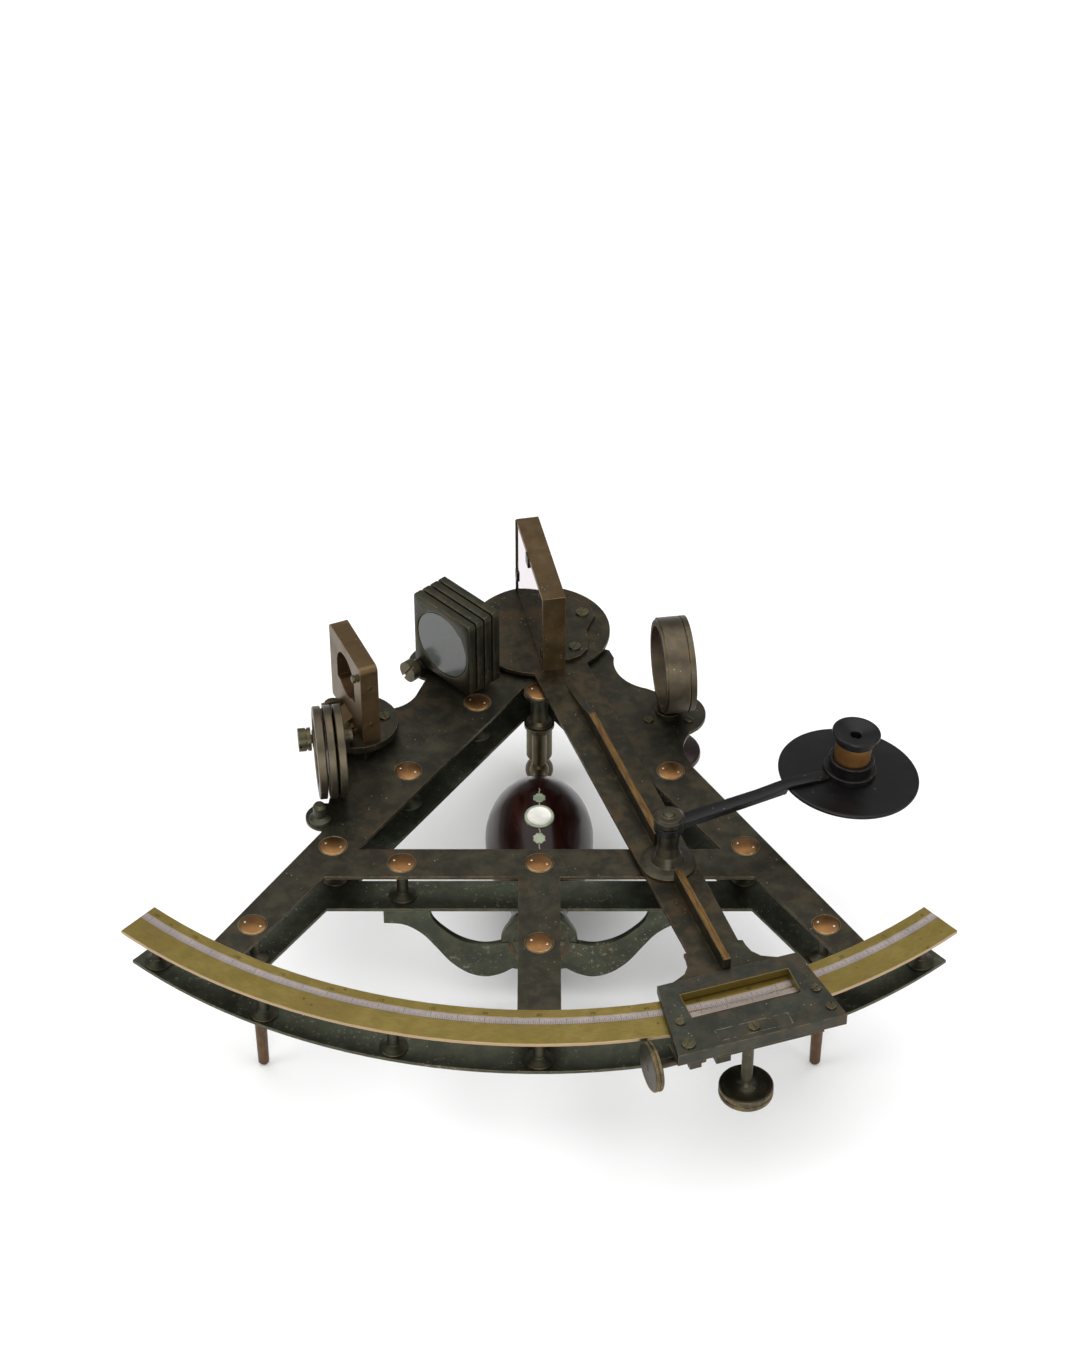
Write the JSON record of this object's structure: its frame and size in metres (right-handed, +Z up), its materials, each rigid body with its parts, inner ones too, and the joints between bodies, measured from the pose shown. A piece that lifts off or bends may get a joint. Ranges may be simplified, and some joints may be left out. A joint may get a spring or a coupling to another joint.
{
  "type": "octant",
  "caption": "Double-frame octant on feet with a turning index arm, vernier window, index and horizon mirrors, hinged shades, telescope collar, turned wooden handle and swinging magnifier.",
  "frame": {"origin": "on the table that it stands on, under the middle of the bounding box", "axes": "+X to the right with the arc towards the user, +Y away from the user to the index mirror, +Z up"},
  "size_m": [0.2782, 0.2514, 0.1058],
  "materials": {
    "frame_bronze": "dark lacquered bronze, worn brown at the edges",
    "lower_bronze": "dark bronze with grey-green patina",
    "limb_brass": "olive brass with a fine circular grain",
    "silver": "dulled silver with fine lines",
    "turned_brass": "turned brass, darkened",
    "copper_heads": "coppery domed heads with a pale rim",
    "screw_brass": "dull brass",
    "mirror_brass": "brown lacquered brass with bright worn edges",
    "shade_brass": "brown lacquered brass",
    "mirror_glass": "old silvered glass",
    "dark_glass": "dark neutral glass",
    "pale_glass": "pale neutral glass",
    "knob_bronze": "dark bronze, milled edge",
    "black_lacquer": "glossy black lacquer",
    "tube_brass": "tan lacquered brass",
    "lens_glass": "clear lens",
    "dark_wood": "polished dark hardwood",
    "pale_inlay": "pale polished metal discs"
  },
  "bodies": {
    "frame": {"upper_frame": "frame_bronze", "lower_frame": "lower_bronze", "limb": "limb_brass", "silver_scale": "silver", "frame_pillars": "turned_brass", "pillar_screws": "copper_heads", "frame_screws": "screw_brass", "front_feet": "turned_brass", "rear_foot": "lower_bronze", "centre_bearing": "lower_bronze", "handle": "dark_wood", "handle_inlays": "pale_inlay", "handle_stud": "turned_brass", "handle_bracket": "lower_bronze", "collar_base": "frame_bronze", "horizon_base": "frame_bronze", "horizon_mirror_frame": "mirror_brass", "horizon_glass": "mirror_glass", "horizon_shade_bracket": "frame_bronze", "horizon_shade_pin": "screw_brass", "shade_stop_post": "turned_brass", "index_shade_bracket": "frame_bronze", "index_shade_pin": "screw_brass"},
    "collar": {"collar_stem": "frame_bronze", "collar_ring_front": "frame_bronze", "collar_ring_back": "frame_bronze"},
    "collar_nut": {"collar_knob": "knob_bronze"},
    "index": {"index_arm": "frame_bronze", "index_arbor": "turned_brass", "arbor_nut": "turned_brass", "index_mirror_base": "frame_bronze", "index_mirror_frame": "mirror_brass", "index_mirror_glass": "mirror_glass", "vernier_plate": "frame_bronze", "vernier_scale": "silver", "index_screws": "screw_brass", "magnifier_post": "frame_bronze"},
    "clamp": {"clamp_block": "knob_bronze"},
    "clamp_thumbscrew": {"clamp_screw": "knob_bronze"},
    "fine_screw": {"tangent_screw": "knob_bronze"},
    "magnifier": {"magnifier_arm": "black_lacquer", "reflector_disc": "black_lacquer", "magnifier_barrel": "black_lacquer"},
    "eye_tube": {"magnifier_tube": "tube_brass", "magnifier_eyepiece": "black_lacquer", "magnifier_lens": "lens_glass"},
    "horizon_shade_1": {"horizon_shade_ring_1": "shade_brass", "horizon_shade_glass_1": "dark_glass"},
    "horizon_shade_2": {"horizon_shade_ring_2": "shade_brass", "horizon_shade_glass_2": "dark_glass"},
    "horizon_shade_3": {"horizon_shade_ring_3": "shade_brass", "horizon_shade_glass_3": "pale_glass"},
    "index_shade_1": {"index_shade_frame_1": "shade_brass", "index_shade_glass_1": "dark_glass"},
    "index_shade_2": {"index_shade_frame_2": "shade_brass", "index_shade_glass_2": "dark_glass"},
    "index_shade_3": {"index_shade_frame_3": "shade_brass", "index_shade_glass_3": "dark_glass"},
    "index_shade_4": {"index_shade_frame_4": "shade_brass", "index_shade_glass_4": "dark_glass"}
  },
  "joints": [
    {"name": "index_turn", "type": "hinge", "parent": "frame", "child": "index", "pos_m": [0, 0.09928, 0.0674], "axis": [0, 0, 1], "range_deg": [-45, 13.5]},
    {"name": "index_shade_swing_1", "type": "hinge", "parent": "frame", "child": "index_shade_1", "pos_m": [-0.04278, 0.07931, 0.0689], "axis": [-0.7218, -0.6921, 0], "range_deg": [0, 90]},
    {"name": "index_shade_swing_2", "type": "hinge", "parent": "frame", "child": "index_shade_2", "pos_m": [-0.03997, 0.08201, 0.0689], "axis": [-0.7218, -0.6921, 0], "range_deg": [0, 90]},
    {"name": "index_shade_swing_3", "type": "hinge", "parent": "frame", "child": "index_shade_3", "pos_m": [-0.03715, 0.08471, 0.0689], "axis": [-0.7218, -0.6921, 0], "range_deg": [0, 90]},
    {"name": "index_shade_swing_4", "type": "hinge", "parent": "frame", "child": "index_shade_4", "pos_m": [-0.03434, 0.0874, 0.0689], "axis": [-0.7218, -0.6921, 0], "range_deg": [0, 90]},
    {"name": "horizon_shade_swing_1", "type": "hinge", "parent": "frame", "child": "horizon_shade_1", "pos_m": [-0.07182, 0.02882, 0.0762], "axis": [-0.989, -0.1478, 0], "range_deg": [0, 98]},
    {"name": "horizon_shade_swing_2", "type": "hinge", "parent": "frame", "child": "horizon_shade_2", "pos_m": [-0.07534, 0.02829, 0.0762], "axis": [-0.989, -0.1478, 0], "range_deg": [0, 98]},
    {"name": "horizon_shade_swing_3", "type": "hinge", "parent": "frame", "child": "horizon_shade_3", "pos_m": [-0.07885, 0.02777, 0.0762], "axis": [-0.989, -0.1478, 0], "range_deg": [0, 98]},
    {"name": "collar_knob_turn", "type": "hinge", "parent": "frame", "child": "collar_nut", "pos_m": [0.0468, 0.05398, 0.0474], "axis": [0, 0, 1], "range_deg": [0, 2160]},
    {"name": "collar_rise", "type": "slide", "parent": "frame", "child": "collar", "axis": [0, 0, 1], "range_m": [0, 0.006]},
    {"name": "clamp_shift", "type": "slide", "parent": "index", "child": "clamp", "axis": [0.9472, 0.3206, 0], "range_m": [-0.002, 0.002]},
    {"name": "clamp_screw_turn", "type": "hinge", "parent": "clamp", "child": "clamp_thumbscrew", "pos_m": [0.06724, -0.10843, 0.0574], "axis": [0, 0, 1], "range_deg": [-360, 360]},
    {"name": "tangent_screw_turn", "type": "hinge", "parent": "index", "child": "fine_screw", "pos_m": [0.03592, -0.11756, 0.0622], "axis": [0.9472, 0.3206, 0], "range_deg": [-1440, 1440]},
    {"name": "magnifier_swing", "type": "hinge", "parent": "index", "child": "magnifier", "pos_m": [0.0436, -0.02955, 0.0878], "axis": [0, 0, 1], "range_deg": [-110, 30]},
    {"name": "magnifier_focus", "type": "slide", "parent": "magnifier", "child": "eye_tube", "axis": [0.0952, 0.0432, 0.9945], "range_m": [-0.002, 0.004]}
  ],
  "couplings": [
    {"joint": "collar_knob_turn", "follows": "collar_rise", "rad_per_m": 6283.2},
    {"joint": "clamp_shift", "follows": "tangent_screw_turn", "m_per_rad": 0.000079498}
  ]
}
